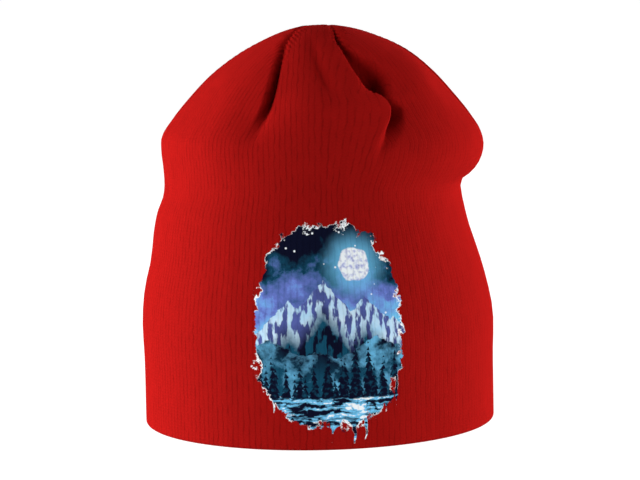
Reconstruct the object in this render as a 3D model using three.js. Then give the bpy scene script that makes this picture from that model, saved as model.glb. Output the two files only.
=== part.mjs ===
import * as THREE from 'three';
import { ParametricGeometry } from 'three/addons/geometries/ParametricGeometry.js';
import { mergeVertices } from 'three/addons/utils/BufferGeometryUtils.js';

// Winter hat: a double-layer rib-knit beanie, standing on its hem.
// Millimetres, +Z up. The front faces -Y and the origin is the middle of the hem's underside.

// The knit
const PLY = 1.8;              // thickness of one layer
const PLY_GAP = 0.3;          // clearance between the two layers
const HEM_TURN = 8;           // height of the hem, where the outer layer is turned up inside
const HEM_ROUND = 1;          // radius of the hem's folded edge, beside the flat that it stands on

// The crown, where the darts close the tube
const CROWN_X = 3.5;          // where the darts meet, to the right of the middle
const CROWN_Y = 26;           // and behind it
const CROWN_TILT = 0.13;      // rise of the crown towards the front, for each unit of depth
const LEAN_START = 125;       // distance up the knit from the hem where the crown starts to lean
const LINING_START = 30;      // distance up the knit where the inner layer starts to stand off
const LINING_WAIST = 4.5;     // how far it stands off at the waist, clear of the creases
const LINING_ROOM = 10.5;     // and at the crown, clear of the darts
const LINING_DARTS = 0.3;     // depth of the inner layer's darts, as a share of the outer ones

// The waist and the bulge above it run down towards the back, and up towards the front
const SLANT = 7;              // by this much
const SLANT_FROM = 45;        // between these distances up the knit
const SLANT_TO = 165;

// The outer layer's outline: a row for each level, with its reach from the middle
const SECTIONS = [
  { height: 0, left: 87.2, right: 87.2, front: 100.2, back: 100.2 },
  { height: 6, left: 87.2, right: 87.2, front: 100.2, back: 100.2 },
  { height: 30, left: 87.2, right: 87.2, front: 100.5, back: 100.5 },
  { height: 56, left: 87.6, right: 87.2, front: 99.6, back: 100.2 },
  { height: 68, left: 86.2, right: 84.8, front: 97.6, back: 99 },
  { height: 82, left: 82.8, right: 81, front: 94.6, back: 97 },
  { height: 96, left: 81, right: 76.4, front: 91.2, back: 95.6 },
  { height: 106, left: 78.8, right: 74, front: 89, back: 94.6 },
  { height: 113, left: 76, right: 73, front: 87.8, back: 94.4 },
  { height: 117, left: 75.3, right: 74, front: 87.2, back: 94.8 },
  { height: 121, left: 75.2, right: 77, front: 86.8, back: 95.6 },
  { height: 128, left: 75.6, right: 82, front: 85.8, back: 97.4 },
  { height: 136, left: 76.4, right: 84.2, front: 84, back: 98.4 },
  { height: 143, left: 76, right: 82.8, front: 81.6, back: 97.6 },
  { height: 151, left: 70.8, right: 78, front: 77.8, back: 94.6 },
  { height: 162, left: 61.6, right: 69.4, front: 70, back: 89 },
  { height: 173, left: 50.6, right: 59.6, front: 58.8, back: 79 },
  { height: 183, left: 36.4, right: 47.2, front: 43, back: 67 },
  { height: 190.5, left: 20.6, right: 31, front: 22, back: 53 },
  { height: 194, left: 9, right: 18, front: -1, back: 41 },
  { height: 195, left: -CROWN_X, right: CROWN_X, front: -CROWN_Y, back: CROWN_Y },
];

// Darts, a row each, round from the front's left: the valley's direction at its foot and at three
// places above it, in degrees from the front towards the right, its depth, and the widths of the
// slopes down into it from its left and its right
const DART_STATIONS = [143, 161, 195, 222];
const DART_FADE = 26;         // distance over which a dart deepens, up from its foot
const DART_CLOSING = 183;     // where the darts start to get shallower, towards their meeting,
const DART_CLOSED = 214;      // where they are shallowest,
const DART_LEFT = 0.15;       // and the share of their depth that is left there
const DARTS = [
  { at: [-25, -20, -22.5, -26], depth: 4.2, left: 17, right: 5 },
  { at: [22, 32, 16.5, 18], depth: 7, left: 6, right: 17 },
  { at: [86, 86, 80, 76], depth: 3.5, left: 12, right: 12 },
  { at: [148, 150, 146, 140], depth: 4, left: 13, right: 13 },
  { at: [-150, -148, -144, -140], depth: 4, left: 13, right: 13 },
  { at: [-88, -86, -84, -80], depth: 3.5, left: 12, right: 12 },
];

// Soft folds between the darts: the direction at the lower and upper end, the stretch of knit
// that the fold runs along, its rise out of the knit and half its width
const FOLDS = [
  { low: 7, high: -5, from: 160, to: 205, rise: -0.9, half: 7 },
  { low: 17, high: 25, from: 118, to: 182, rise: 1.6, half: 13 },
  { low: -38, high: -42, from: 122, to: 200, rise: 1.2, half: 20 },
  { low: 118, high: 108, from: 110, to: 190, rise: 1.5, half: 18 },
  { low: -118, high: -112, from: 112, to: 188, rise: 1.4, half: 18 },
];

// Creases round the waist, a row each: the directions and distances up the knit of both ends,
// the depth and half the width
const CREASES = [
  { from: 52, fromUp: 123, to: 150, toUp: 112, depth: 3, half: 7 },
  { from: 138, fromUp: 112, to: 236, toUp: 104, depth: 1.6, half: 12 },
];

// The mesh
const DART_COLUMNS = 10;      // columns from one dart to the next
const CROWDING = 0.6;         // how far those columns crowd towards the darts
const ROW_LENGTH = 12;        // longest step between rows of the outer layer
const LINING_ROWS = 15;       // steps up the inner layer
const SAME_PLACE = 1e-4;      // corners nearer than this are one
const AVERAGED = 2.5;         // half the width of knit that an outward direction is averaged over

const radians = THREE.MathUtils.degToRad;
const degrees = THREE.MathUtils.radToDeg;
const smoothstep = THREE.MathUtils.smoothstep;

// A smooth curve through the values at the knots, level past both ends
function smoothCurve(knots, values) {
  const last = knots.length - 1;
  const slope = (i) => (values[i + 1] - values[i]) / (knots[i + 1] - knots[i]);
  const tangents = values.map((_, i) => {
    if (i === 0) return slope(0);
    if (i === last) return slope(last - 1);
    const before = knots[i] - knots[i - 1];
    const after = knots[i + 1] - knots[i];
    return (slope(i - 1) * after + slope(i) * before) / (before + after);
  });
  return (at) => {
    const here = THREE.MathUtils.clamp(at, knots[0], knots[last]);
    let i = 0;
    while (i < last - 1 && here > knots[i + 1]) i += 1;
    const step = knots[i + 1] - knots[i];
    const t = (here - knots[i]) / step;
    const start = (1 + 2 * t) * (1 - t) ** 2 * values[i] + t * (1 - t) ** 2 * step * tangents[i];
    const end = t * t * (3 - 2 * t) * values[i + 1] + t * t * (t - 1) * step * tangents[i + 1];
    return start + end;
  };
}

// Distance up the knit from the hem to each section
function distancesUp(sections) {
  const radius = (row) => (row.left + row.right + row.front + row.back) / 4;
  const distances = [0];
  for (let i = 1; i < sections.length; i += 1) {
    const rise = sections[i].height - sections[i - 1].height;
    const inward = radius(sections[i]) - radius(sections[i - 1]);
    distances.push(distances[i - 1] + Math.hypot(rise, inward));
  }
  return distances;
}

const UP = distancesUp(SECTIONS);
const TOP = UP[UP.length - 1];
const outline = {};
for (const column of ['height', 'left', 'right', 'front', 'back']) {
  outline[column] = smoothCurve(UP, SECTIONS.map((row) => row[column]));
}
const dartAzimuths = DARTS.map((dart) => smoothCurve(DART_STATIONS, dart.at));

function meanRadius(up) {
  const width = outline.left(up) + outline.right(up);
  const depth = outline.front(up) + outline.back(up);
  return (width + depth) / 4;
}

// A point of the plain outline, before any dart or fold: azimuth in degrees from the front
function outlinePoint(azimuth, up) {
  const lean = smoothstep(up, LEAN_START, TOP);
  const side = Math.sin(radians(azimuth));
  const behind = -Math.cos(radians(azimuth));
  const middleX = CROWN_X * lean;
  const middleY = CROWN_Y * lean;
  const stretch = THREE.MathUtils.clamp((up - SLANT_FROM) / (SLANT_TO - SLANT_FROM), 0, 1);
  const level = up + SLANT * behind * Math.sin(Math.PI * stretch) ** 2;
  const reachX = side > 0 ? outline.right(level) - middleX : outline.left(level) + middleX;
  const reachY = behind > 0 ? outline.back(level) - middleY : outline.front(level) + middleY;
  const y = reachY * behind;
  const z = outline.height(up) - CROWN_TILT * lean * y;
  return new THREE.Vector3(middleX + reachX * side, middleY + y, z);
}

// Signed angle from one azimuth to another, between -180 and 180
function turn(from, to) {
  return THREE.MathUtils.euclideanModulo(to - from + 180, 360) - 180;
}

// How deep the darts pull the knit in at this place
function dartDip(azimuth, up) {
  const foot = DART_STATIONS[0];
  const closed = smoothstep(up, DART_CLOSING, DART_CLOSED);
  const share = smoothstep(up, foot, foot + DART_FADE) * (1 - (1 - DART_LEFT) * closed);
  let dip = 0;
  DARTS.forEach((dart, i) => {
    const across = radians(turn(dartAzimuths[i](up), azimuth)) * meanRadius(up);
    const width = (across < 0 ? dart.left : dart.right) * (1 + share) / 2;
    const inside = Math.max(0, 1 - Math.abs(across) / width);
    dip = Math.max(dip, dart.depth * inside * inside);
  });
  return dip * share;
}

// How far the soft folds lift the knit at this place
function foldRise(azimuth, up) {
  let rise = 0;
  for (const fold of FOLDS) {
    const along = (up - fold.from) / (fold.to - fold.from);
    if (along > 0 && along < 1) {
      const direction = THREE.MathUtils.lerp(fold.low, fold.high, along);
      const across = radians(turn(direction, azimuth)) * meanRadius(up);
      rise += fold.rise * Math.sin(Math.PI * along) ** 2 * Math.exp(-((across / fold.half) ** 2));
    }
  }
  return rise;
}

// How deep the creases round the waist are at this place
function creaseDip(azimuth, up) {
  let dip = 0;
  for (const crease of CREASES) {
    const along = turn(crease.from, azimuth) / turn(crease.from, crease.to);
    if (along > 0 && along < 1) {
      const middle = THREE.MathUtils.lerp(crease.fromUp, crease.toUp, along);
      const inside = Math.max(0, 1 - Math.abs(up - middle) / crease.half);
      dip += crease.depth * Math.sin(Math.PI * along) ** 2 * inside * inside;
    }
  }
  return dip;
}

// Outward direction of a surface given by a function of azimuth and distance up
function outward(surface, azimuth, up) {
  if (up >= TOP) return new THREE.Vector3(0, CROWN_TILT, 1).normalize();
  const swing = degrees(AVERAGED / Math.max(meanRadius(up), 2 * AVERAGED));
  const around = surface(azimuth + swing, up).sub(surface(azimuth - swing, up));
  const above = surface(azimuth, Math.min(up + AVERAGED, TOP));
  const upward = above.sub(surface(azimuth, Math.max(up - AVERAGED, 0)));
  return around.cross(upward).normalize();
}

// The outer layer's outside
function knitPoint(azimuth, up) {
  const lift = foldRise(azimuth, up) - dartDip(azimuth, up) - creaseDip(azimuth, up);
  const plain = outlinePoint(azimuth, up);
  return plain.addScaledVector(outward(outlinePoint, azimuth, up), lift);
}

// The inner layer's outside, which runs level with the hem's inside and drops clear of the darts
function liningPoint(azimuth, up) {
  const foot = DART_STATIONS[0];
  const waist = LINING_WAIST * smoothstep(up, LINING_START, foot - 2 * DART_FADE);
  const crown = (LINING_ROOM - LINING_WAIST) * smoothstep(up, foot - DART_FADE, foot + DART_FADE / 2);
  const dip = LINING_DARTS * dartDip(azimuth, up);
  const plain = outlinePoint(azimuth, up);
  const inset = PLY + PLY_GAP + waist + crown + dip;
  return plain.addScaledVector(outward(outlinePoint, azimuth, up), -inset);
}

// Azimuth of a column: evenly round, crowded towards the darts and following them
function columnAzimuth(share, up) {
  const place = share * DARTS.length;
  const gore = Math.floor(place) % DARTS.length;
  const next = (gore + 1) % DARTS.length;
  const part = place - Math.floor(place);
  const crowded = part - CROWDING * Math.sin(2 * Math.PI * part) / (2 * Math.PI);
  const start = dartAzimuths[gore](up);
  const width = THREE.MathUtils.euclideanModulo(dartAzimuths[next](up) - start, 360);
  return start + width * crowded;
}

// Distances up the knit for the rows of a mesh: every section above the start, with steps
// added where the next one is far
function rowsUp(start, longest) {
  const rows = [start];
  for (const up of UP) {
    const last = rows[rows.length - 1];
    if (up > last) {
      const steps = Math.ceil((up - last) / longest);
      for (let i = 1; i <= steps; i += 1) rows.push(last + (up - last) * i / steps);
    }
  }
  return rows;
}

// A closed wall: the surface point of each row is set in from the outside by the row's depth
function wallGeometry(surface, rows, columns) {
  const point = (share, level, target) => {
    const place = level * (rows.length - 1);
    const i = Math.min(Math.floor(place), rows.length - 2);
    const up = THREE.MathUtils.lerp(rows[i].up, rows[i + 1].up, place - i);
    const depth = THREE.MathUtils.lerp(rows[i].depth, rows[i + 1].depth, place - i);
    const azimuth = columnAzimuth(share, up);
    target.copy(surface(azimuth, up)).addScaledVector(outward(surface, azimuth, up), -depth);
  };
  return closed(new ParametricGeometry(point, columns, rows.length - 1));
}

// The geometry with its shared corners merged and the flat triangles at the crown left out
function closed(geometry) {
  geometry.deleteAttribute('normal');
  geometry.deleteAttribute('uv');
  const merged = mergeVertices(geometry, SAME_PLACE);
  const corners = merged.getIndex().array;
  const kept = [];
  for (let i = 0; i < corners.length; i += 3) {
    const [a, b, c] = [corners[i], corners[i + 1], corners[i + 2]];
    if (a !== b && b !== c && c !== a) kept.push(a, b, c);
  }
  merged.setIndex(kept);
  merged.computeVertexNormals();
  return merged;
}

// Outer layer: down the inside, round the hem that it stands on, and up the outside
function outerLayer() {
  const hemWall = 2 * PLY + PLY_GAP;
  const corner = HEM_ROUND * (1 - Math.SQRT1_2);
  const ups = rowsUp(HEM_TURN, ROW_LENGTH);
  const inside = [...ups].reverse().map((up) => ({ up, depth: PLY }));
  const outside = ups.map((up) => ({ up, depth: 0 }));
  const hem = [
    { up: HEM_TURN, depth: hemWall },
    { up: HEM_ROUND, depth: hemWall },
    { up: corner, depth: hemWall - corner },
    { up: 0, depth: hemWall - HEM_ROUND },
    { up: 0, depth: HEM_ROUND },
    { up: corner, depth: corner },
    { up: HEM_ROUND, depth: 0 },
  ];
  const columns = DARTS.length * DART_COLUMNS;
  return wallGeometry(knitPoint, [...inside, ...hem, ...outside], columns);
}

// Inner layer: from its closed crown down the inside to just above the turned hem, and back up
function innerLayer() {
  const start = HEM_TURN + PLY_GAP;
  const ups = Array.from({ length: LINING_ROWS + 1 }, (_, i) => start + (TOP - start) * i / LINING_ROWS);
  const inside = [...ups].reverse().map((up) => ({ up, depth: PLY }));
  const outside = ups.map((up) => ({ up, depth: 0 }));
  const columns = DARTS.length * DART_COLUMNS;
  return wallGeometry(liningPoint, [...inside, ...outside], columns);
}

// Rib-knit acrylic, red outside and in
function knitMaterial(colour) {
  return new THREE.MeshStandardMaterial({ color: colour, roughness: 0.92, metalness: 0 });
}

function layerMesh(name, geometry, colour) {
  const mesh = new THREE.Mesh(geometry, knitMaterial(colour));
  mesh.name = name;
  return mesh;
}

const hat = new THREE.Group();
hat.add(layerMesh('outer_layer', outerLayer(), '#b91a17'));
hat.add(layerMesh('inner_layer', innerLayer(), '#a81714'));

export default hat;
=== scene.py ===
"""Winter hat: a double-layer rib-knit beanie that stands on its hem, in its studio."""

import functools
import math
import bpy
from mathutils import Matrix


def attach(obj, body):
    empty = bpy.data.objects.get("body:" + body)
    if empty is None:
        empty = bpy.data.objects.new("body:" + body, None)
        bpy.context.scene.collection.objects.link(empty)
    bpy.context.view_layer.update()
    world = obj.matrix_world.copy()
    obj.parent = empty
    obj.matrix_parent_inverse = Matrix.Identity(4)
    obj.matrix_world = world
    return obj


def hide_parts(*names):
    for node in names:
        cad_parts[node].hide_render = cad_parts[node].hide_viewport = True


bl_info = {
    "name": "Winter Hat",
    "version": (1, 0, 0),
    "blender": (4, 5, 0),
    "location": "3D View > Sidebar > Winter Hat",
    "description": "Makes a double-layer rib-knit beanie with a transfer print",
    "category": "Add Mesh",
}

from collections import namedtuple
from types import SimpleNamespace

import bmesh
import bpy
import numpy as np
from mathutils import Matrix, Vector

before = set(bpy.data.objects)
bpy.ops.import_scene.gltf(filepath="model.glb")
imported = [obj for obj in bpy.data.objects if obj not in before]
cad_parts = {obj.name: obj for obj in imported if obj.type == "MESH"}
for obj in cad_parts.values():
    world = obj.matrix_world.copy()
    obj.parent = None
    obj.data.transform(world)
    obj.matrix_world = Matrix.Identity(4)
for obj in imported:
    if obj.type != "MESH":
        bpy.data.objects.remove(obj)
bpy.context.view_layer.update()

# The shape is worked out in millimetres, +Z up, with the front facing -Y.
MM = 0.001

# The crown, where the darts meet: its place, how steeply it tilts, and from how far up the knit the
# hat leans towards it
CROWN_X = 3.5
CROWN_Y = 26
CROWN_TILT = 0.13
LEAN_START = 125

# The waist's slant: how far it is lowered behind and raised in front, and the stretch of knit
SLANT = 7
SLANT_FROM = 45
SLANT_TO = 165

# How far either way the surface's directions are averaged
AVERAGED = 2.5

# The outline: a row for each level, with its reach from the middle
SECTION_COLUMNS = ("height", "left", "right", "front", "back")
SECTIONS = (
    (0, 87.2, 87.2, 100.2, 100.2),
    (6, 87.2, 87.2, 100.2, 100.2),
    (30, 87.2, 87.2, 100.5, 100.5),
    (56, 87.6, 87.2, 99.6, 100.2),
    (68, 86.2, 84.8, 97.6, 99),
    (82, 82.8, 81, 94.6, 97),
    (96, 81, 76.4, 91.2, 95.6),
    (106, 78.8, 74, 89, 94.6),
    (113, 76, 73, 87.8, 94.4),
    (117, 75.3, 74, 87.2, 94.8),
    (121, 75.2, 77, 86.8, 95.6),
    (128, 75.6, 82, 85.8, 97.4),
    (136, 76.4, 84.2, 84, 98.4),
    (143, 76, 82.8, 81.6, 97.6),
    (151, 70.8, 78, 77.8, 94.6),
    (162, 61.6, 69.4, 70, 89),
    (173, 50.6, 59.6, 58.8, 79),
    (183, 36.4, 47.2, 43, 67),
    (190.5, 20.6, 31, 22, 53),
    (194, 9, 18, -1, 41),
    (195, -CROWN_X, CROWN_X, -CROWN_Y, CROWN_Y),
)

# Darts, round from the front's left. One side of each stands as a steep wall and the other is an
# open slope. The foot is where a dart's gathering starts, OPEN_ROUND rounds the open slope, and
# from STEEP_DEPTH on the wall's rim leans over in full. For each dart:
#   steep: the wall's side, 1 for the right and -1 for the left, seen from outside
#   lean: how far the wall's rim leans over the valley
#   gathered: how deep its puckers are
#   share: how much of the depth the open slope takes up within its width
#   reach: how many such widths the rest of the depth fades out over
#   rows: up the knit, the distance up, the valley's direction, its depth, the open slope's width,
#     how full that slope is (1 is even, and more has a level floor with a steep end) and the
#     wall's width
FOOT = 143
OPEN_ROUND = 1.4
STEEP_DEPTH = 8
Dart = namedtuple("Dart", "steep lean gathered share reach rows")
DARTS = (
    Dart(steep=-1, lean=0, gathered=0.8, share=0.6, reach=7, rows=(
        (FOOT, -22, 0, 5, 1, 9), (150, -21.7, 1, 4.8, 1, 8), (156, -21.2, 2.6, 4.8, 1, 6),
        (160, -21.1, 4.2, 4.8, 1, 4.2), (164, -21.1, 5.5, 4.8, 1, 3), (169, -21.3, 6, 4.8, 1, 2.4),
        (176, -21.7, 5.9, 4.6, 1, 2.3), (183, -22.5, 5, 4, 1, 2.2), (193, -24, 3, 3.4, 1, 2.2),
        (203, -26.2, 1.2, 2.8, 1, 2.4), (213, -27.4, 0.4, 2.4, 1, 2.4),
        (226, -27.8, 0.3, 2.2, 1, 2.4), (240, -27, 0.2, 2, 1, 2),
    )),
    Dart(steep=-1, lean=2.5, gathered=0.8, share=0.8, reach=3, rows=(
        (131, 20.5, 0, 6, 1, 6), (138, 21.5, 0.6, 7, 1, 6), (FOOT, 23, 1.9, 8, 1, 5.5),
        (149, 25.5, 4.3, 9, 1, 5), (154, 27.8, 7.4, 8.5, 1, 4.5), (158, 29.6, 10.4, 7.5, 1, 4.5),
        (162, 30.6, 13.2, 6.5, 1, 4.5), (166, 29.4, 14.8, 4.4, 1.2, 5),
        (172, 25.2, 14.6, 11, 3.2, 7), (179, 20.9, 12.8, 17, 8, 5), (187, 18.4, 11.8, 14, 6, 4.5),
        (195, 16.5, 9.5, 8, 1.8, 4.5), (204, 15, 5.5, 4.8, 1, 4.5), (213, 15.7, 2, 3, 1, 4),
        (224, 18.5, 0.7, 2, 1, 3), (240, 22, 0.4, 2, 1, 2),
    )),
    Dart(steep=1, lean=0, gathered=0.3, share=0.8, reach=3, rows=(
        (FOOT, 86, 0, 6, 1, 6), (165, 86, 3.4, 6, 1, 5), (195, 80, 3.6, 5, 1, 4),
        (222, 76, 1.8, 3, 1, 3), (240, 74, 0.7, 2, 1, 2),
    )),
    Dart(steep=1, lean=0, gathered=0.3, share=0.8, reach=3, rows=(
        (FOOT, 148, 0, 6, 1, 6), (165, 150, 3.8, 7, 1, 5), (195, 146, 4, 6, 1, 4),
        (222, 140, 2, 3, 1, 3), (240, 138, 0.7, 2, 1, 2),
    )),
    Dart(steep=-1, lean=0, gathered=0.3, share=0.8, reach=3, rows=(
        (FOOT, -150, 0, 6, 1, 6), (165, -148, 3.8, 7, 1, 5), (195, -144, 4, 6, 1, 4),
        (222, -140, 2, 3, 1, 3), (240, -138, 0.7, 2, 1, 2),
    )),
    Dart(steep=-1, lean=0, gathered=0.3, share=0.8, reach=3, rows=(
        (FOOT, -88, 0, 6, 1, 6), (165, -86, 3.4, 6, 1, 5), (195, -84, 3.6, 5, 1, 4),
        (222, -80, 1.8, 3, 1, 3), (240, -78, 0.7, 2, 1, 2),
    )),
)

# Puckers along the dart seams: spacing, slope, reach and the stretch of knit
PUCKER_SPACING = 3.4
PUCKER_SLOPE = 0.9
PUCKER_REACH = 5
PUCKER_FROM = 180
PUCKER_TO = 238

# Soft folds: the direction at the lower and upper end, the stretch of knit, rise and half width
FOLDS = (
    (13, -7, 146, 214, -2.9, 3.4),
    (17, 25, 118, 182, 1.6, 13),
    (-38, -42, 122, 200, 1.2, 20),
    (118, 108, 110, 190, 1.5, 18),
    (-118, -112, 112, 188, 1.4, 18),
)

# Broad hollows and swells: direction, distance up, rise, and half width round and up the knit
SWELLS = (
    (-25, 153, -1, 10, 10),
    (3, 159, 5, 23, 14),
    (29, 147, -0.8, 8, 8),
    (21, 172, -1.4, 4, 5),
    (53, 177, 2.4, 15, 18),
)

# Creases round the waist: the direction and distance up of both ends, depth and half width
CREASES = (
    (52, 123, 150, 112, 3, 7),
    (138, 112, 236, 104, 1.6, 12),
)

# The inner layer: how far it stands off at the waist and at the crown, the stretches of knit over
# which it comes to do so, and its darts' share of the outer layer's depth
LINING_WAIST = 4.5
LINING_ROOM = 10.5
WAIST_STRETCH = (30, 91)
CROWN_STRETCH = (117, 156)
LINING_DARTS = 0.3

# The meshes: rows as stretches and steps up the knit, in millimetres
OUTER_ROWS = ((3, 96, 7.75), (96, 143, 3), (143, 185, 1.5), (185, 250, 1.25))
INNER_ROWS = ((12, 96, 7), (96, 143, 4), (143, 248, 3))
OUTER_COLUMNS_PER_RIB = 5
INNER_COLUMNS_PER_RIB = 4
HEM_STEPS = 5
HEM_ROWS = 4
PLAIN_ROWS = 40
PLAIN_COLUMNS = 72
COVERED_RIBS = 1000
ARC_SHARES = np.linspace(0, 1, 33)
TINY = 1e-9
WELD = 1e-6
BRIDGE_LIFT = 0.03

# The knit's pattern: how far the ribs stray, as a share of a rib, the sizes in millimetres of what
# makes them stray, frays the yarn and clouds the dye, where a rib's groove starts, how far its
# stitches slant, and how far the stitches and the fuzz stand out, as shares of the stitch's depth
RIB_STRAY = 0.55
STRAY_SIZE = 5
FUZZ_SIZE = 0.7
CLOUD_SIZE = 14
GROOVE_START = 0.3
STITCH_SLANT = 1.3
STITCH_RISE = 0.15
FUZZ_RISE = 0.35

# How much each of these changes the yarn's tone, where the stitches' share is painted shade and
# light, and how dark the shade painted into the groove is on the print. Streaks of painted shade
# in the grooves differ from rib to rib and run for a few stitches
CLOUD_TONE = 0.14
RIB_TONE = 0.05
STITCH_SHADING = 0.03
FUZZ_TONE = 0.16
FILM_GROOVE_SHADE = 0.12
STREAK_APART = 7.3
STREAK_RATE = 0.22
STREAK_NOISE = (0.4, 0.66)
STREAK_SHADE = (0.04, 0.29)

# The print, in millimetres on the knit from the middle of the front
PRINT_ASIDE = 4.8
PRINT_UP = 60
PRINT_WIDTH = 71
PRINT_HEIGHT = 97
SHORE = -33

# Its edge: how square the corners are, and the drips below DRIP_START, which are DRIP_WIDTH to
# either side
CORNERS = 2.6
DRIP_START = (0, -8)
DRIP_SPACING = 5.3
DRIP_WIDTH = 0.9
DRIP_LENGTH = 12

# Its textures, in cycles for each millimetre: the brush's wander, the wash, the paper's grain, the
# ragged edge and the stars. BRUSH_WANDER is how far the brush wanders
BRUSH_SCALE = 0.15
WASH_SCALE = 0.07
GRAIN_SCALE = 0.45
EDGE_SCALE = 0.13
STAR_SCALE = 0.21
BRUSH_WANDER = 3.5

# The sky's foot and top, the tones at which each ink starts and has taken over, the moon's middle,
# and from where to where from its middle it ends, its glow fades and a star ends
SKY_STRETCH = (-4, 46)
SKY_INKS = ((0, 0.35, "periwinkle"), (0.3, 0.62, "teal"), (0.55, 0.8, "navy"))
MOON_PLACE = (13, 29, 0)
MOON_EDGE = (7.6, 8.2)
MOON_GLOW = (6, 19)
STAR_EDGE = (0.08, 0.13)

# Peaks: place, height and slope. The rest says how far the grain breaks their ridge up, and how far
# below it the peak covers what lies behind, the snow ends and mist gathers
FAR_PEAKS = ((-19, 12, 1.0), (-3, 22, 1.25), (17, 13, 0.95), (31, 3, 0.8))
NEAR_PEAKS = ((-28, -6, 0.55), (-5, -12, 0.4), (22, -5, 0.6))
PEAK_ROUGHNESS = 4
RIDGE_EDGE = (-0.2, 0.3)
SNOW_LINE = (9, 20)
MIST = (1, 13)

# Rows of pines: spacing, offset, lowest tip and spread of the tips; tiers for each millimetre, and
# how fast the pines widen
PINES = ((6.4, 0.2, -22, 13), (4.6, 0.55, -27, 9))
TIERS = 0.33
PINE_SLOPE = 0.13

# The studio, in metres and degrees. Softboxes: name, azimuth, height above the floor, distance,
# width, height, power in watts
LIGHTS = (
    ("left_key", -65, 0.9, 1.5, 0.7, 0.6, 19.5),
    ("left_top", -90, 1.6, 1.5, 0.7, 0.6, 5.5),
    ("left_side", -90, 0.15, 1.5, 0.7, 0.6, 18.5),
    ("left_edge", -115, 0.15, 1.5, 0.7, 0.6, 29),
    ("right_fill", 65, 0.15, 1.5, 0.7, 0.6, 18.5),
    ("right_top", 90, 1.6, 1.5, 0.7, 0.6, 7),
    ("right_side", 115, 0.15, 1.5, 0.7, 0.6, 18),
    ("right_edge", 140, 0.15, 1.5, 0.7, 0.6, 29),
)
LIGHT_AIM = (0, 0, 0.1)
CAMERA_TARGET = (0.00175, 0, 0.0895)
FLOOR_SIZE = 12
FLOOR_DROP = 0.0003

# How much light the paper throws back at the hat, how much of its shading the camera sees, and the
# backdrop's light on the hat
PAPER = 0.8
PAPER_SHADED = 0.22
AMBIENT = 0.02

# The paper round the hem glows, unseen by the camera, to light the hem from below: how strongly,
# and from where to where the glow fades
HEM_GLOW = 0.42
HEM_GLOW_NEAR = 0.11
HEM_GLOW_FAR = 0.24


def smoothstep(value, low, high):
    """Rises smoothly from 0 at low to 1 at high."""
    share = np.clip((value - low) / (high - low), 0, 1)
    return share * share * (3 - 2 * share)


def smooth_curve(knots, values):
    """A smooth curve through the values at the knots, level past both ends."""
    knots = np.array(knots, float)
    values = np.array(values, float)
    steps = np.diff(knots)
    slopes = np.diff(values) / steps
    inner = (slopes[:-1] * steps[1:] + slopes[1:] * steps[:-1]) / (steps[:-1] + steps[1:])
    tangents = np.concatenate([slopes[:1], inner, slopes[-1:]])

    def curve(at):
        here = np.clip(at, knots[0], knots[-1])
        i = np.clip(np.searchsorted(knots, here) - 1, 0, len(steps) - 1)
        t = (here - knots[i]) / steps[i]
        start = (1 + 2 * t) * values[i] + t * steps[i] * tangents[i]
        end = (3 - 2 * t) * values[i + 1] + (t - 1) * steps[i] * tangents[i + 1]
        return (1 - t) ** 2 * start + t * t * end

    return curve


def distances_up():
    """Distance up the knit from the hem to each section."""
    table = np.array(SECTIONS, float)
    rise = np.diff(table[:, 0])
    inward = np.diff(table[:, 1:].mean(axis=1))
    return np.concatenate([[0], np.cumsum(np.hypot(rise, inward))])


UP = distances_up()
TOP = UP[-1]
OUTLINE = {
    column: smooth_curve(UP, [row[i] for row in SECTIONS])
    for i, column in enumerate(SECTION_COLUMNS)
}
DART_CURVES = []
for dart in DARTS:
    stations, *columns = zip(*dart.rows)
    DART_CURVES.append([smooth_curve(stations, column) for column in columns])
DART_AZIMUTHS = [curves[0] for curves in DART_CURVES]


def mean_radius(up):
    return sum(OUTLINE[column](up) for column in SECTION_COLUMNS[1:]) / 4


def outline_point(azimuth, up):
    """Points of the plain outline, before any dart or fold."""
    lean = smoothstep(up, LEAN_START, TOP)
    side = np.sin(np.radians(azimuth))
    behind = -np.cos(np.radians(azimuth))
    middle_x = CROWN_X * lean
    middle_y = CROWN_Y * lean
    stretch = np.clip((up - SLANT_FROM) / (SLANT_TO - SLANT_FROM), 0, 1)
    level = up + SLANT * behind * np.sin(np.pi * stretch) ** 2
    right = OUTLINE["right"](level) - middle_x
    left = OUTLINE["left"](level) + middle_x
    back = OUTLINE["back"](level) - middle_y
    front = OUTLINE["front"](level) + middle_y
    x = middle_x + np.where(side > 0, right, left) * side
    y = np.where(behind > 0, back, front) * behind
    z = OUTLINE["height"](up) - CROWN_TILT * lean * y
    return np.stack(np.broadcast_arrays(x, middle_y + y, z), axis=-1)


def turn(start, end):
    """Signed angle from one azimuth to another, between -180 and 180."""
    return (end - start + 180) % 360 - 180


def dart_pull(azimuth, up):
    """How deep the darts pull the knit in, and how far they pull it sideways."""
    dip = shift = pucker = 0
    for dart, curves in zip(DARTS, DART_CURVES):
        direction, depth, width, full, wall = (curve(up) for curve in curves)
        across = np.radians(turn(direction, azimuth)) * mean_radius(up)
        open_way = np.maximum(0, -across * dart.steep) / width
        inside = dart.share * np.maximum(0, 1 - open_way**full) ** OPEN_ROUND
        inside = inside + (1 - dart.share) * np.maximum(0, 1 - open_way / dart.reach) ** 2
        wall_way = np.maximum(0, across * dart.steep) / wall
        inside = inside * (1 - smoothstep(wall_way, 0, 1))
        dip = np.maximum(dip, depth * inside)

        # The rim leans over by most at the wall's top, and no more from three walls' widths on
        beyond = np.minimum(wall_way, 3)
        leaning = dart.lean * np.clip(depth / STEEP_DEPTH, 0, 1)
        shift = shift - dart.steep * leaning * beyond * (3 - beyond) ** 2 / 4
        run = (up + PUCKER_SLOPE * np.abs(across)) / PUCKER_SPACING
        along = np.clip((up - PUCKER_FROM) / (PUCKER_TO - PUCKER_FROM), 0, 1)
        near = np.exp(-((across / PUCKER_REACH) ** 2)) * np.sin(np.pi * along)
        pucker = pucker + dart.gathered * near * np.sin(2 * np.pi * run)
    return dip + pucker, shift


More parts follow.
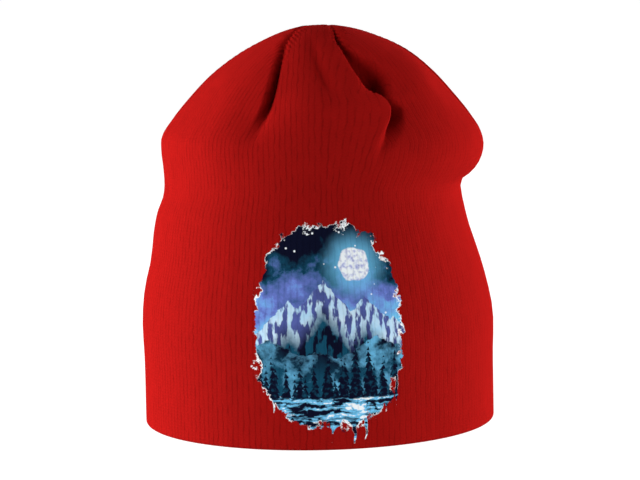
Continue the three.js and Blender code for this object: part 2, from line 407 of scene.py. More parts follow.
def fold_rise(azimuth, up):
    """How far the soft folds and swells lift the knit."""
    rise = 0
    for low, high, start, end, height, half in FOLDS:
        along = np.clip((up - start) / (end - start), 0, 1)
        across = np.radians(turn(low + (high - low) * along, azimuth)) * mean_radius(up)
        rise = rise + height * np.sin(np.pi * along) ** 2 * np.exp(-((across / half) ** 2))
    for direction, level, height, half_round, half_up in SWELLS:
        across = np.radians(turn(direction, azimuth)) * mean_radius(up) / half_round
        rise = rise + height * np.exp(-(across**2) - ((up - level) / half_up) ** 2)
    return rise


def crease_dip(azimuth, up):
    """How deep the creases round the waist are."""
    dip = 0
    for start, start_up, end, end_up, depth, half in CREASES:
        along = np.clip(turn(start, azimuth) / turn(start, end), 0, 1)
        inside = np.maximum(0, 1 - np.abs(up - start_up - (end_up - start_up) * along) / half)
        dip = dip + depth * np.sin(np.pi * along) ** 2 * inside * inside
    return dip


def directions(surface, azimuth, up):
    """Unit vectors round a surface and out of it, averaged over a little of it."""
    swing = np.degrees(AVERAGED / np.maximum(mean_radius(up), 2 * AVERAGED))
    around = surface(azimuth + swing, up) - surface(azimuth - swing, up)
    above = surface(azimuth, np.minimum(up + AVERAGED, TOP))
    below = surface(azimuth, np.maximum(up - AVERAGED, 0))
    out = np.cross(around, above - below)
    at_top = np.broadcast_to(up >= TOP, out.shape[:-1])[..., None]
    out = np.where(at_top, (0, CROWN_TILT, 1), out)
    around = np.where(at_top, 0, around)
    lengths = np.maximum(np.linalg.norm(around, axis=-1, keepdims=True), TINY)
    return around / lengths, out / np.linalg.norm(out, axis=-1, keepdims=True)


def knit_point(azimuth, up):
    """The outer layer's outside."""
    around, out = directions(outline_point, azimuth, up)
    dip, shift = dart_pull(azimuth, up)
    lift = fold_rise(azimuth, up) - dip - crease_dip(azimuth, up)
    return outline_point(azimuth, up) + lift[..., None] * out + shift[..., None] * around


def lining_point(azimuth, up):
    """The inner layer's outside, which drops clear of the darts."""
    sizes = bpy.context.scene.hat_sizes
    waist = LINING_WAIST * smoothstep(up, *WAIST_STRETCH)
    crown = (LINING_ROOM - LINING_WAIST) * smoothstep(up, *CROWN_STRETCH)
    dip, _ = dart_pull(azimuth, up)
    inset = sizes.ply + sizes.ply_gap + waist + crown + LINING_DARTS * dip
    _, out = directions(outline_point, azimuth, up)
    return outline_point(azimuth, up) - inset[..., None] * out


def gore_arcs(middle, dart_azimuth, ups):
    """The swing from a gore's middle to its dart, and the arc lengths on the way."""
    swing = turn(middle, dart_azimuth(ups))
    rows = outline_point(middle + swing[:, None] * ARC_SHARES, ups[:, None])
    steps = np.linalg.norm(np.diff(rows, axis=1), axis=2)
    return swing, np.pad(np.cumsum(steps, axis=1), ((0, 0), (1, 0)))


def half_gore(middle, dart_azimuth, side, ups, rib_width, columns_per_rib):
    """Columns from a gore's middle to its dart: azimuths, ribs from the middle, ribs to spare.

    The ribs keep their width above the dart's foot, so they run out one by one at the dart.
    """
    _, arcs = gore_arcs(middle, dart_azimuth, np.array([0.0, FOOT]))
    hem_arc, foot_arc = arcs[:, -1]
    count = round(hem_arc / rib_width)
    swing, arcs = gore_arcs(middle, dart_azimuth, ups)
    total = arcs[:, -1:]
    left = np.where(ups[:, None] <= FOOT, count, np.minimum(count, total * count / foot_arc))
    number = np.arange(count * columns_per_rib + 1) / columns_per_rib
    ribs = np.minimum(number, left)
    along = ribs / np.maximum(left, TINY) * total
    shares = np.array([np.interp(a, arc, ARC_SHARES) for a, arc in zip(along, arcs)])
    azimuths = middle + swing[:, None] * shares
    return count, azimuths[:, ::side], ribs[:, ::side], (left - ribs)[:, ::side]


def rib_layout(ups, rib_width, columns_per_rib):
    """Lays the ribs out round the hat: each column's azimuth, rib number and ribs to spare."""
    parts = []
    first = 0
    for gore, dart_azimuth in enumerate(DART_AZIMUTHS):
        next_dart = DART_AZIMUTHS[(gore + 1) % len(DARTS)]
        middle = dart_azimuth(FOOT) + (next_dart(FOOT) - dart_azimuth(FOOT)) % 360 / 2
        for dart, side in ((dart_azimuth, -1), (next_dart, 1)):
            count, azimuths, ribs, spare = half_gore(
                middle, dart, side, ups, rib_width, columns_per_rib
            )
            first += count if side < 0 and parts else 0
            parts.append((azimuths, first + side * ribs, spare))
            first += count if side > 0 else 0
    return [np.concatenate(columns, axis=1) for columns in zip(*parts)]


def rib_face(ribs):
    """Height of a rib's rounded face: 1 along its middle and -1 in the groove beside it."""
    return -np.cos(2 * math.pi * ribs)


def place_grid(bm, points, ribs, courses):
    """Adds a grid of faces, with its corners at the rows and columns of points."""
    rows, columns = ribs.shape
    made = bmesh.ops.create_grid(bm, x_segments=columns - 1, y_segments=rows - 1, size=1)
    corners = np.array([vert.co[:2] for vert in made["verts"]])
    low, high = corners.min(axis=0), corners.max(axis=0)
    spots = np.rint((corners - low) / (high - low) * (columns - 1, rows - 1)).astype(int)
    knit = bm.loops.layers.uv.verify()
    across = {}
    for vert, (column, row) in zip(made["verts"], spots.tolist()):
        vert.co = points[row, column] * MM
        across[vert] = (ribs[row, column], courses[row])
    for face in {face for vert in made["verts"] for face in vert.link_faces}:
        face.smooth = True
        for loop in face.loops:
            loop[knit].uv = across[loop.vert]
    bmesh.ops.remove_doubles(bm, verts=made["verts"], dist=WELD)


def closed_wall(name, ribbed, plain):
    """Joins a layer's ribbed side and its plain side, and closes them at the edge.

    The two rims lie level, one inside the other, so one is lifted while they are bridged.
    """
    bm = bmesh.new()
    place_grid(bm, *ribbed)
    ribbed_rim = {vert for vert in bm.verts if vert.is_boundary}
    place_grid(bm, *plain)
    lifted = [vert for vert in bm.verts if vert.is_boundary and vert not in ribbed_rim]
    bmesh.ops.translate(bm, verts=lifted, vec=(0, 0, BRIDGE_LIFT))
    edges = [edge for edge in bm.edges if edge.is_boundary]
    bridge = bmesh.ops.bridge_loops(bm, edges=edges)
    bmesh.ops.translate(bm, verts=lifted, vec=(0, 0, -BRIDGE_LIFT))
    for face in bridge["faces"]:
        face.smooth = True
    bmesh.ops.recalc_face_normals(bm, faces=bm.faces)
    if any(not edge.is_manifold for edge in bm.edges):
        raise RuntimeError(name + " isn't closed")
    mesh = bpy.data.meshes.new(name)
    bm.to_mesh(mesh)
    bm.free()
    mesh.uv_layers[0].name = "knit"
    piece = bpy.data.objects.new(name, mesh)
    bpy.context.scene.collection.objects.link(piece)
    return piece


def even_azimuths(ups, columns):
    """Azimuths of a plain side's columns, which follow the darts."""
    place = np.linspace(0, len(DARTS), columns + 1)
    azimuths = np.empty((len(ups), columns + 1))
    for i, at in enumerate(place):
        gore = int(at) % len(DARTS)
        start = DART_AZIMUTHS[gore](ups)
        width = (DART_AZIMUTHS[(gore + 1) % len(DARTS)](ups) - start) % 360
        azimuths[:, i] = start + width * (at - int(at))
    return azimuths


def hem_path(sizes):
    """Up the knit, depth into it and the way a rib faces, from inside the hem to outside."""
    wall = 2 * sizes.ply + sizes.ply_gap
    bend = np.radians(np.linspace(0, 90, HEM_STEPS))
    rise = sizes.hem_round * (1 - np.sin(bend))
    inset = sizes.hem_round * (1 - np.cos(bend))
    turned = [(up, wall, -1) for up in np.linspace(sizes.hem_turn, sizes.hem_round, HEM_ROWS)]
    inside = list(zip(rise, wall - inset, -np.cos(bend)))
    outside = list(zip(rise, inset, np.cos(bend)))
    return turned[:-1] + inside + outside[::-1]


def ribbed_side(surface, path, sizes, columns_per_rib):
    """Points, rib numbers and courses of a side whose ribs stand out."""
    ups, depths, faces = np.array(path, float).T
    azimuths, ribs, spare = rib_layout(ups, sizes.rib_width, columns_per_rib)
    rows = ups[:, None]
    whole = np.where(rows > FOOT, smoothstep(spare, 0, 1), 1)
    relief = sizes.rib_relief * (whole * rib_face(ribs) - (1 - whole))
    lift = faces[:, None] * relief - depths[:, None]
    points = surface(azimuths, rows) + lift[..., None] * directions(surface, azimuths, rows)[1]
    run = np.concatenate([[0], np.cumsum(np.hypot(np.diff(ups), np.diff(depths)))])
    courses = (run - run[np.argmax(faces > 0)]) / sizes.course
    return points, ribs, courses


def plain_side(surface, depth, start, sizes):
    """Points, rib numbers and courses of a side that the other layer covers."""
    ups = np.linspace(start, TOP, PLAIN_ROWS + 1)
    azimuths = even_azimuths(ups, PLAIN_COLUMNS)
    rows = ups[:, None]
    points = surface(azimuths, rows) - depth * directions(surface, azimuths, rows)[1]
    ribs = COVERED_RIBS + np.linspace(0, 1, PLAIN_COLUMNS + 1) * np.ones_like(azimuths)
    return points, ribs, ups / sizes.course


def rows_up(table):
    """Distances up the knit, from a table of stretches and steps, to the crown."""
    return np.concatenate([np.arange(*stretch) for stretch in table] + [[TOP]])


def hex_colour(code):
    """Linear red, green and blue of an sRGB hex colour."""
    values = [int(code[i:i + 2], 16) / 255 for i in (1, 3, 5)]
    return [v / 12.92 if v <= 0.04045 else ((v + 0.055) / 1.055) ** 2.4 for v in values]


def add_node(tree, kind, inputs=(), **settings):
    """Adds a node with its settings; inputs are values, sockets or nodes, in order or named."""
    node = tree.nodes.new(kind)
    for name, value in settings.items():
        setattr(node, name, value)
    sockets = [socket for socket in node.inputs if socket.enabled]
    names = {socket.name: socket for socket in reversed(sockets)}
    pairs = inputs.items() if isinstance(inputs, dict) else zip(sockets, inputs)
    for place, value in pairs:
        socket = names[place] if isinstance(place, str) else place
        if isinstance(value, bpy.types.Node):
            value = next(output for output in value.outputs if output.enabled)
        if isinstance(value, bpy.types.NodeSocket):
            tree.links.new(value, socket)
        elif socket.type == "RGBA":
            socket.default_value = (*value, 1)
        else:
            socket.default_value = value
    return node


MATHS = "ShaderNodeMath"
VECTORS = "ShaderNodeVectorMath"
NOISE = "ShaderNodeTexNoise"
RANGE = "ShaderNodeMapRange"
MIX = "ShaderNodeMix"


def ridge_line(art, peaks):
    """How far a place lies below a line of peaks that the grain breaks up."""
    put = art.put
    ridge = -PRINT_HEIGHT
    for place, height, slope in peaks:
        aside = put(MATHS, (art.across, place), operation="SUBTRACT")
        away = put(MATHS, (aside,), operation="ABSOLUTE")
        flank = put(MATHS, (away, -slope, height), operation="MULTIPLY_ADD")
        ridge = put(MATHS, (ridge, flank), operation="MAXIMUM")
    ridge = put(MATHS, (art.rough, PEAK_ROUGHNESS, ridge), operation="MULTIPLY_ADD")
    return put(MATHS, (ridge, art.upward), operation="SUBTRACT")


def night_sky(art):
    """Night sky, lighter towards the range, with a moon, its glow and stars."""
    put, colours = art.put, art.colours
    deep = put(RANGE, (art.upward, *SKY_STRETCH, 0, 1))
    tone = put(MATHS, (art.wash, 1.5, -0.75), operation="MULTIPLY_ADD")
    tone = put(MATHS, (deep, tone), operation="ADD")
    sky = colours.sky
    for start, full, ink in SKY_INKS:
        share = put(RANGE, (tone, start, full, 0, 1))
        sky = put(MIX, (share, sky, getattr(colours, ink)), data_type="RGBA")
    moon_way = put(VECTORS, (art.drawn, MOON_PLACE), operation="DISTANCE")
    glow = put(RANGE, (moon_way, *MOON_GLOW, 0.75, 0), interpolation_type="SMOOTHSTEP")
    sky = put(MIX, (glow, sky, colours.sky), data_type="RGBA")
    moon = put(RANGE, (moon_way, *MOON_EDGE, 1, 0))
    mottle = put(RANGE, (art.grain, 0.45, 0.7, 0, 0.75))
    moon_face = put(MIX, (mottle, colours.white, colours.periwinkle), data_type="RGBA")
    sky = put(MIX, (moon, sky, moon_face), data_type="RGBA")
    sparks = put("ShaderNodeTexVoronoi", {"Vector": art.paper, "Scale": STAR_SCALE})
    star = put(RANGE, (sparks.outputs["Distance"], *STAR_EDGE, 1, 0))
    return put(MIX, (star, sky, colours.white), data_type="RGBA")


def far_range(art, picture):
    """Far range: snow on the lit facets, shade on the others, bare rock lower down."""
    put, colours = art.put, art.colours
    below = ridge_line(art, FAR_PEAKS)
    tilted = put("ShaderNodeMapping", {
        "Vector": art.paper, "Rotation": (0, 0, 0.6), "Scale": (0.3, 0.1, 1)
    })
    facets = put(NOISE, {"Vector": tilted, "Scale": 1, "Detail": 3})
    shade = put(RANGE, (facets, 0.47, 0.53, 0, 1))
    lit = put(MIX, (art.wash, colours.white, colours.sky), data_type="RGBA")
    dark = put(MIX, (art.wash, colours.navy, colours.periwinkle), data_type="RGBA")
    snow = put(MIX, (shade, lit, dark), data_type="RGBA")
    bare = put(RANGE, (below, *SNOW_LINE, 0, 1))
    rock = put(MIX, (shade, colours.teal, colours.navy), data_type="RGBA")
    snow = put(MIX, (bare, snow, rock), data_type="RGBA")
    cover = put(RANGE, (below, *RIDGE_EDGE, 0, 1))
    return put(MIX, (cover, picture, snow), data_type="RGBA")


def near_hills(art, picture):
    """Near hills, in a teal wash that fades into mist at their feet."""
    put, colours = art.put, art.colours
    below = ridge_line(art, NEAR_PEAKS)
    mist = put(RANGE, (below, *MIST, 0, 0.9))
    hills = put(MIX, (mist, colours.navy, colours.teal), data_type="RGBA")
    pale = put(RANGE, (art.wash, 0.45, 0.62, 0, 0.8))
    hills = put(MIX, (pale, hills, colours.sky), data_type="RGBA")
    cover = put(RANGE, (below, *RIDGE_EDGE, 0, 1))
    return put(MIX, (cover, picture, hills), data_type="RGBA")


def lake(art, picture):
    """Lake: level strokes of sky and white on navy."""
    put, colours = art.put, art.colours
    strokes = put("ShaderNodeMapping", {"Vector": art.drawn, "Scale": (0.05, 0.5, 1)})
    ripple = put(NOISE, {"Vector": strokes, "Scale": 1, "Detail": 3})
    wave = put(RANGE, (ripple, 0.45, 0.55, 0, 1))
    water = put(MIX, (wave, colours.navy, colours.sky), data_type="RGBA")
    glint = put(RANGE, (ripple, 0.6, 0.63, 0, 1))
    water = put(MIX, (glint, water, colours.white), data_type="RGBA")
    shore = put(RANGE, (art.upward, SHORE, SHORE - 0.5, 0, 1))
    return put(MIX, (shore, picture, water), data_type="RGBA")


def pines(art, picture):
    """Pines: rows of spires with drooping tiers."""
    put, colours = art.put, art.colours
    for spacing, offset, tip, spread in PINES:
        place = put(MATHS, (art.across, 1 / spacing, offset), operation="MULTIPLY_ADD")
        tree = put(MATHS, (place,), operation="ROUND")
        aside = put(MATHS, (place, tree), operation="SUBTRACT")
        aside = put(MATHS, (aside,), operation="ABSOLUTE")
        chance = put("ShaderNodeTexWhiteNoise", (tree,), noise_dimensions="1D")
        tops = put(MATHS, (chance, spread, tip), operation="MULTIPLY_ADD")
        down = put(MATHS, (tops, art.upward), operation="SUBTRACT")
        tier = put(MATHS, (down, TIERS), operation="MULTIPLY")
        tier = put(MATHS, (tier,), operation="FRACT")
        reach = put(MATHS, (down, PINE_SLOPE, tier), operation="MULTIPLY_ADD")
        inside = put(MATHS, (aside, -spacing, reach), operation="MULTIPLY_ADD")
        cover = put(RANGE, (inside, 0, 0.3, 0, 1))
        above = put(RANGE, (art.upward, SHORE - 2, SHORE - 1, 0, 1))
        cover = put(MATHS, (cover, above), operation="MULTIPLY")
        needles = put(RANGE, (art.grain, 0.5, 0.75, 0, 1))
        bough = put(MIX, (needles, colours.navy, colours.teal), data_type="RGBA")
        picture = put(MIX, (cover, picture, bough), data_type="RGBA")
    return picture


def ragged_edge(art, picture):
    """Ends the wash in a ragged edge that runs down in drips, with bare film here and there."""
    put = art.put
    place = put(MATHS, (art.across, 1 / DRIP_SPACING), operation="MULTIPLY")
    drip = put(MATHS, (place,), operation="ROUND")
    chance = put("ShaderNodeTexWhiteNoise", (drip,), noise_dimensions="1D")
    aside = put(MATHS, (place, drip), operation="SUBTRACT")
    aside = put(MATHS, (aside,), operation="ABSOLUTE")
    half = DRIP_WIDTH / DRIP_SPACING
    thread = put(RANGE, (aside, 0.3 * half, half, 1, 0))
    length = put(RANGE, (chance, 0.35, 1, 0, DRIP_LENGTH))
    run = put(MATHS, (thread, length), operation="MULTIPLY")
    low = put(RANGE, (art.upward, *DRIP_START, 0, 1))
    pulled = put(MATHS, (run, low, art.upward), operation="MULTIPLY_ADD")
    parts = []
    for way, size in ((art.across, PRINT_WIDTH), (pulled, PRINT_HEIGHT)):
        away = put(MATHS, (way,), operation="ABSOLUTE")
        share = put(MATHS, (away, size / 2), operation="DIVIDE")
        parts.append(put(MATHS, (share, CORNERS), operation="POWER"))
    edge = put(MATHS, parts, operation="ADD")
    ragged = put(NOISE, {
        "Vector": art.paper, "Scale": EDGE_SCALE, "Detail": 6, "Roughness": 0.65
    })
    edge = put(MATHS, (ragged, 1.1, edge), operation="MULTIPLY_ADD")
    start = put(MATHS, (art.wash, 0.55, 1.2), operation="MULTIPLY_ADD")
    past = put(MATHS, (edge, start), operation="SUBTRACT")
    margin = put(RANGE, (past, 0, 0.03, 0, 1))
    picture = put(MIX, (margin, picture, art.colours.white), data_type="RGBA")
    covered = put(RANGE, (edge, 1.5, 1.53, 1, 0))
    return picture, covered


def transfer_print(put, ribs, courses, sizes, colours):
    """A watercolour of a moonlit range above pines and a lake: its colour and its cover.

    Heat-pressed water-based transfer: flat and matt, with the ribs showing through it in relief
    and in shade painted into the grooves.
    """
    x = put(MATHS, (ribs, sizes.rib_width, -PRINT_ASIDE), operation="MULTIPLY_ADD")
    y = put(MATHS, (courses, sizes.course, -PRINT_UP), operation="MULTIPLY_ADD")
    paper = put("ShaderNodeCombineXYZ", (x, y, 0))
    wander = put(NOISE, {"Vector": paper, "Scale": BRUSH_SCALE, "Detail": 4})
    centred = put(VECTORS, (wander.outputs["Color"], (0.5, 0.5, 0.5)), operation="SUBTRACT")
    shift = put(VECTORS, (centred, BRUSH_WANDER), operation="SCALE")
    drawn = put(VECTORS, (paper, shift), operation="ADD")
    parts = put("ShaderNodeSeparateXYZ", (drawn,))
    wash = put(NOISE, {"Vector": drawn, "Scale": WASH_SCALE, "Detail": 6, "Roughness": 0.6})
    grain = put(NOISE, {"Vector": paper, "Scale": GRAIN_SCALE, "Detail": 3})
    rough = put(MATHS, (grain, 0.5), operation="SUBTRACT")
    art = SimpleNamespace(
        put=put, colours=colours, paper=paper, drawn=drawn, across=parts.outputs["X"],
        upward=parts.outputs["Y"], wash=wash, grain=grain, rough=rough
    )
    picture = night_sky(art)
    for layer in (far_range, near_hills, lake, pines):
        picture = layer(art, picture)
    return ragged_edge(art, picture)


def knit_material(name, base, sizes, colours, printed):
    """Fine 1x1 rib knit in dyed acrylic yarn: matt, with upright ribs and a soft surface."""
    material = bpy.data.materials.new(name)
    material.use_nodes = True
    tree = material.node_tree
    tree.nodes.clear()
    put = functools.partial(add_node, tree)
    knit = put("ShaderNodeSeparateXYZ", (put("ShaderNodeUVMap", uv_map="knit"),))
    ribs, courses = knit.outputs["X"], knit.outputs["Y"]
    place = put("ShaderNodeTexCoord").outputs["Object"]

    # Each rib is a column of V stitches that strays a little, with a groove beside it. A stitch of
    # this fine knit is under a pixel high, so stitches are drawn as coarse as they need to show
    stray = put(NOISE, {"Vector": place, "Scale": 1 / (STRAY_SIZE * MM), "Detail": 1})
    strayed = put(MATHS, (stray, RIB_STRAY, ribs), operation="MULTIPLY_ADD")
    within = put(MATHS, (strayed,), operation="FRACT")
    centred = put(MATHS, (within, 0.5), operation="SUBTRACT")
    aside = put(MATHS, (centred,), operation="ABSOLUTE")
    groove = put(RANGE, (aside, GROOVE_START, 0.5, 0, 1), interpolation_type="SMOOTHSTEP")
    slanted = put(MATHS, (aside, -STITCH_SLANT, courses), operation="MULTIPLY_ADD")
    phase = put(MATHS, (slanted, 2 * math.pi), operation="MULTIPLY")
    stitch = put(MATHS, (phase,), operation="SINE")
    yarn = put(MATHS, (stitch, STITCH_RISE, 1 - STITCH_RISE), operation="MULTIPLY_ADD")
    face = put(MATHS, (1, groove), operation="SUBTRACT")
    height = put(MATHS, (face, yarn), operation="MULTIPLY")
    fuzz = put(NOISE, {"Vector": place, "Scale": 1 / (FUZZ_SIZE * MM), "Detail": 2})
    height = put(MATHS, (fuzz, FUZZ_RISE, height), operation="MULTIPLY_ADD")
    bump = put("ShaderNodeBump", {
        "Strength": sizes.stitch_strength, "Distance": sizes.stitch_depth * MM, "Height": height
    })

    # Yarn takes the dye unevenly: faint clouds, and a slightly different tone in each rib
    clouds = put(NOISE, {"Vector": place, "Scale": 1 / (CLOUD_SIZE * MM), "Detail": 3})
    number = put(MATHS, (strayed,), operation="FLOOR")
    rib_tone = put("ShaderNodeTexWhiteNoise", (number,), noise_dimensions="1D")
    tone = put(MATHS, (clouds, CLOUD_TONE, 1 - CLOUD_TONE), operation="MULTIPLY_ADD")
    tone = put(MATHS, (rib_tone, RIB_TONE, tone), operation="MULTIPLY_ADD")

    # Shade is painted into the grooves, more in some streaks than in others
    seam = put(MATHS, (strayed,), operation="ROUND")
    seam_place = put(MATHS, (seam, STREAK_APART), operation="MULTIPLY")
    run = put(MATHS, (courses, STREAK_RATE), operation="MULTIPLY")
    streak = put("ShaderNodeCombineXYZ", (seam_place, run, 0))
    streak = put(NOISE, {"Vector": streak, "Scale": 1, "Detail": 1})
    streak = put(RANGE, (streak, *STREAK_NOISE, *STREAK_SHADE))
    painted_groove_shade = put(MATHS, (groove, streak), operation="MULTIPLY")
    tone = put(MATHS, (painted_groove_shade, -1, tone), operation="MULTIPLY_ADD")
    # Painted shade and light along the stitches, darker between them; the fuzz varies the tone at
    # random
    tone = put(MATHS, (stitch, STITCH_SHADING, tone), operation="MULTIPLY_ADD")
    tone = put(MATHS, (fuzz, FUZZ_TONE, tone), operation="MULTIPLY_ADD")
    dyed = base
    if printed:
        picture, covered = transfer_print(put, ribs, courses, sizes, colours)
        # On the print, the yarn's tone gives way to a fainter shade painted into the grooves
        film = put(MATHS, (groove, -FILM_GROOVE_SHADE, 1), operation="MULTIPLY_ADD")
        tone = put(MIX, (covered, tone, film))
        dyed = put(MIX, (covered, base, picture), data_type="RGBA")
    colour = put(VECTORS, (dyed, tone), operation="SCALE")

    # Acrylic fibres scatter light and don't shine; their fuzz catches a little at the edges
    surface = put("ShaderNodeBsdfPrincipled", {
        "Base Color": colour,
        "Roughness": 1,
        "Specular IOR Level": 0,
        "Sheen Weight": 0.05,
        "Sheen Roughness": 0.5,
        "Sheen Tint": (0.8, 0.05, 0.05),
        "Normal": bump,
    })
    put("ShaderNodeOutputMaterial", (surface,))
    return material


class HatSizes(bpy.types.PropertyGroup):
    """Sizes of the knit, in millimetres."""

    ply: bpy.props.FloatProperty(
        name="Layer", description="Thickness of one layer in mm", default=1.8, min=0.5
    )
    ply_gap: bpy.props.FloatProperty(
        name="Clearance", description="Gap between the layers in mm", default=0.3, min=0
    )
    hem_turn: bpy.props.FloatProperty(
        name="Hem", description="Height of the turned-up hem in mm", default=8, min=2
    )
    hem_round: bpy.props.FloatProperty(
        name="Hem edge", description="Radius of the hem's folded edge in mm", default=1.6, min=0.2
    )
    rib_width: bpy.props.FloatProperty(
        name="Rib", description="Width of one rib at the hem in mm", default=3, min=1
    )
    rib_relief: bpy.props.FloatProperty(
        name="Rib relief", description="Rise of a rib's face in mm", default=0.02, min=0
    )
    course: bpy.props.FloatProperty(
        name="Stitch", description="Height of one stitch in mm", default=1.6, min=0.5
    )
    stitch_depth: bpy.props.FloatProperty(
        name="Stitch depth", description="Depth between stitches in mm", default=0.14, min=0
    )
    stitch_strength: bpy.props.FloatProperty(
        name="Stitch strength", description="Share of the stitch depth that shows",
        default=0.5, min=0, max=1, subtype="FACTOR"
    )
    lining_clearance: bpy.props.FloatProperty(
        name="Lining clearance", description="Gap above the turned hem in mm", default=0.05, min=0
    )


class HatColours(bpy.types.PropertyGroup):
    """Colours of the yarn and of the print."""

    knit: bpy.props.FloatVectorProperty(
        name="Knit", description="Yarn of the outer layer", subtype="COLOR",
        min=0, max=1, default=hex_colour("#8B100E")
    )
    lining: bpy.props.FloatVectorProperty(
        name="Inside", description="Yarn of the inner layer", subtype="COLOR",
        min=0, max=1, default=hex_colour("#820E0D")
    )
    navy: bpy.props.FloatVectorProperty(
        name="Navy", description="Darkest ink", subtype="COLOR",
        min=0, max=1, default=hex_colour("#0A1024")
    )
    teal: bpy.props.FloatVectorProperty(
        name="Teal", description="Mid ink", subtype="COLOR",
        min=0, max=1, default=hex_colour("#134A63")
    )
    sky: bpy.props.FloatVectorProperty(
        name="Sky", description="Bright ink", subtype="COLOR",
        min=0, max=1, default=hex_colour("#6FC0EA")
    )
    periwinkle: bpy.props.FloatVectorProperty(
        name="Periwinkle", description="Violet-blue ink", subtype="COLOR",
        min=0, max=1, default=hex_colour("#6A79CC")
    )
    white: bpy.props.FloatVectorProperty(
        name="White", description="Bare transfer film", subtype="COLOR",
        min=0, max=1, default=hex_colour("#EEF4F8")
    )


class HatStudio(bpy.types.PropertyGroup):
    """The camera's settings."""

    lens: bpy.props.FloatProperty(
        name="Lens", description="Focal length in mm", default=180, min=20
    )
    distance: bpy.props.FloatProperty(
        name="Distance", description="Camera to hat", default=1.6, min=0.5, unit="LENGTH"
    )
    elevation: bpy.props.FloatProperty(
        name="Elevation", description="Camera's angle above level",
        default=math.radians(6), subtype="ANGLE", unit="ROTATION"
    )
    roll: bpy.props.FloatProperty(
        name="Roll", description="Camera's roll", default=math.radians(1.15),
        subtype="ANGLE", unit="ROTATION"
    )


class HAT_OT_outer_layer(bpy.types.Operator):
    """Make the outer layer, turned up inside at the hem, with its print"""

    bl_idname = "hat.outer_layer"
    bl_label = "Outer Layer"

    def execute(self, context):
        sizes = context.scene.hat_sizes
        colours = context.scene.hat_colours
        path = hem_path(sizes) + [(up, 0, 1) for up in rows_up(OUTER_ROWS)]
        fine = ribbed_side(knit_point, path, sizes, OUTER_COLUMNS_PER_RIB)
        plain = plain_side(knit_point, sizes.ply, sizes.hem_turn, sizes)
        piece = closed_wall("outer_knit_layer", fine, plain)
        material = knit_material("rib_knit_acrylic_printed", colours.knit, sizes, colours, True)
        piece.data.materials.append(material)
        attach(piece, "root")
        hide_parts("outer_layer")
        return {"FINISHED"}


class HAT_OT_inner_layer(bpy.types.Operator):
    """Make the inner layer, from the hem to its own crown"""

    bl_idname = "hat.inner_layer"
    bl_label = "Inner Layer"

    def execute(self, context):
        sizes = context.scene.hat_sizes
        colours = context.scene.hat_colours
        start = sizes.hem_turn + sizes.lining_clearance
        path = [(start, sizes.ply, -1)]
        path += [(up, sizes.ply, -1) for up in rows_up(INNER_ROWS)]
        fine = ribbed_side(lining_point, path, sizes, INNER_COLUMNS_PER_RIB)
        plain = plain_side(lining_point, 0, start, sizes)
        piece = closed_wall("inner_knit_layer", fine, plain)
        material = knit_material("rib_knit_acrylic", colours.lining, sizes, colours, False)
        piece.data.materials.append(material)
        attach(piece, "root")
        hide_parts("inner_layer")
        return {"FINISHED"}


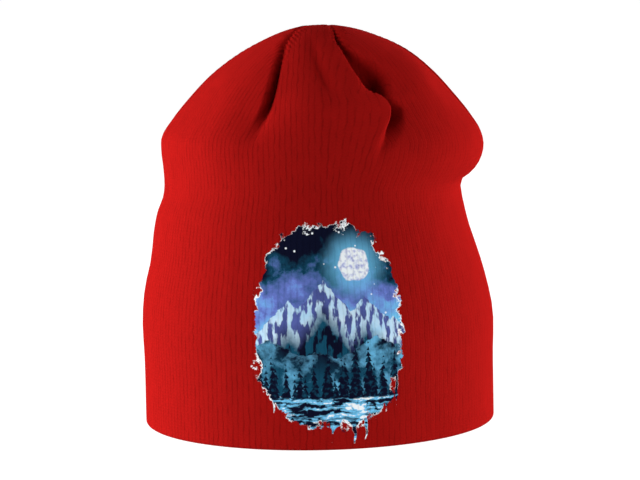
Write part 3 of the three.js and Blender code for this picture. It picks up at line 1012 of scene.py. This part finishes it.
class HAT_OT_studio(bpy.types.Operator):
    """Set up the floor, the lights, the backdrop and the camera"""

    bl_idname = "hat.studio"
    bl_label = "Studio"

    def execute(self, context):
        scene = context.scene
        studio = scene.hat_studio
        scene.view_settings.view_transform = "Standard"

        # Floor: matt white paper, bright enough to the camera to run into the backdrop, which
        # throws light back at the hat. Round the hem it also glows, a glow the camera doesn't see,
        # which lights the hem from below
        bm = bmesh.new()
        bmesh.ops.create_grid(bm, x_segments=1, y_segments=1, size=FLOOR_SIZE)
        bmesh.ops.translate(bm, verts=bm.verts, vec=(0, 0, -FLOOR_DROP))
        mesh = bpy.data.meshes.new("studio_floor")
        bm.to_mesh(mesh)
        bm.free()
        floor = bpy.data.objects.new("studio_floor", mesh)
        scene.collection.objects.link(floor)
        paper = bpy.data.materials.new("white_paper")
        paper.use_nodes = True
        tree = paper.node_tree
        tree.nodes.clear()
        put = functools.partial(add_node, tree)
        seen = put("ShaderNodeLightPath").outputs["Is Camera Ray"]
        place = put("ShaderNodeTexCoord").outputs["Object"]
        away = put(VECTORS, (place,), operation="LENGTH")
        # The paper's glow round the hem, which fades away from it and lights the hem from below
        lift = put(RANGE, (away, HEM_GLOW_NEAR, HEM_GLOW_FAR, HEM_GLOW, 0))
        matt = put("ShaderNodeBsdfDiffuse", {"Color": (PAPER, PAPER, PAPER)})
        table = put("ShaderNodeEmission", {"Color": (1, 1, 1), "Strength": lift})
        matt = put("ShaderNodeAddShader", (matt, table))
        faint = put("ShaderNodeBsdfDiffuse", {"Color": (PAPER_SHADED, PAPER_SHADED, PAPER_SHADED)})
        glow = put("ShaderNodeEmission", {"Color": (1, 1, 1), "Strength": 1})
        bright = put("ShaderNodeAddShader", (faint, glow))
        put("ShaderNodeOutputMaterial", (put("ShaderNodeMixShader", (seen, matt, bright)),))
        mesh.materials.append(paper)

        # Backdrop: white to the camera, and a weak even light on the hat
        world = bpy.data.worlds.new("white_backdrop")
        scene.world = world
        world.use_nodes = True
        world.node_tree.nodes.clear()
        put = functools.partial(add_node, world.node_tree)
        seen = put("ShaderNodeLightPath").outputs["Is Camera Ray"]
        weak = put("ShaderNodeBackground", {"Color": (1, 1, 1), "Strength": AMBIENT})
        white = put("ShaderNodeBackground", {"Color": (1, 1, 1), "Strength": 1})
        put("ShaderNodeOutputWorld", (put("ShaderNodeMixShader", (seen, weak, white)),))

        # Softboxes
        for name, azimuth, height, distance, width, tall, power in LIGHTS:
            light = bpy.data.lights.new(name, "AREA")
            light.shape = "RECTANGLE"
            light.size, light.size_y, light.energy = width, tall, power
            lamp = bpy.data.objects.new(name, light)
            scene.collection.objects.link(lamp)
            swing = math.radians(azimuth)
            place = Vector((math.sin(swing) * distance, -math.cos(swing) * distance, height))
            aim = (Vector(LIGHT_AIM) - place).to_track_quat("-Z", "Y").to_matrix().to_4x4()
            lamp.matrix_world = Matrix.Translation(place) @ aim

        # Camera
        camera = bpy.data.cameras.new("camera")
        camera.lens = studio.lens
        camera.sensor_width = 36
        viewer = bpy.data.objects.new("camera", camera)
        scene.collection.objects.link(viewer)
        target = Vector(CAMERA_TARGET)
        away = Vector((0, -math.cos(studio.elevation), math.sin(studio.elevation)))
        look = (-away).to_track_quat("-Z", "Y").to_matrix().to_4x4()
        turned = look @ Matrix.Rotation(-studio.roll, 4, "Z")
        viewer.matrix_world = Matrix.Translation(target + away * studio.distance) @ turned
        scene.camera = viewer
        return {"FINISHED"}


class HAT_PT_panel(bpy.types.Panel):
    """The hat's pieces, sizes and colours"""

    bl_idname = "HAT_PT_panel"
    bl_label = "Winter Hat"
    bl_space_type = "VIEW_3D"
    bl_region_type = "UI"
    bl_category = "Winter Hat"

    def draw(self, context):
        layout = self.layout
        for operator in OPERATORS:
            layout.operator(operator.bl_idname)
        for group in (context.scene.hat_sizes, context.scene.hat_colours, context.scene.hat_studio):
            column = layout.column()
            for name in group.__annotations__:
                column.prop(group, name)


GROUPS = {"hat_sizes": HatSizes, "hat_colours": HatColours, "hat_studio": HatStudio}
OPERATORS = (HAT_OT_studio, HAT_OT_outer_layer, HAT_OT_inner_layer)
CLASSES = (*GROUPS.values(), *OPERATORS, HAT_PT_panel)


def register():
    for cls in CLASSES:
        bpy.utils.register_class(cls)
    for name, group in GROUPS.items():
        setattr(bpy.types.Scene, name, bpy.props.PointerProperty(type=group))


def unregister():
    for name in GROUPS:
        delattr(bpy.types.Scene, name)
    for cls in reversed(CLASSES):
        bpy.utils.unregister_class(cls)


def main():
    register()
    bpy.ops.hat.studio()
    bpy.ops.hat.outer_layer()
    bpy.ops.hat.inner_layer()


if __name__ == "__main__":
    main()
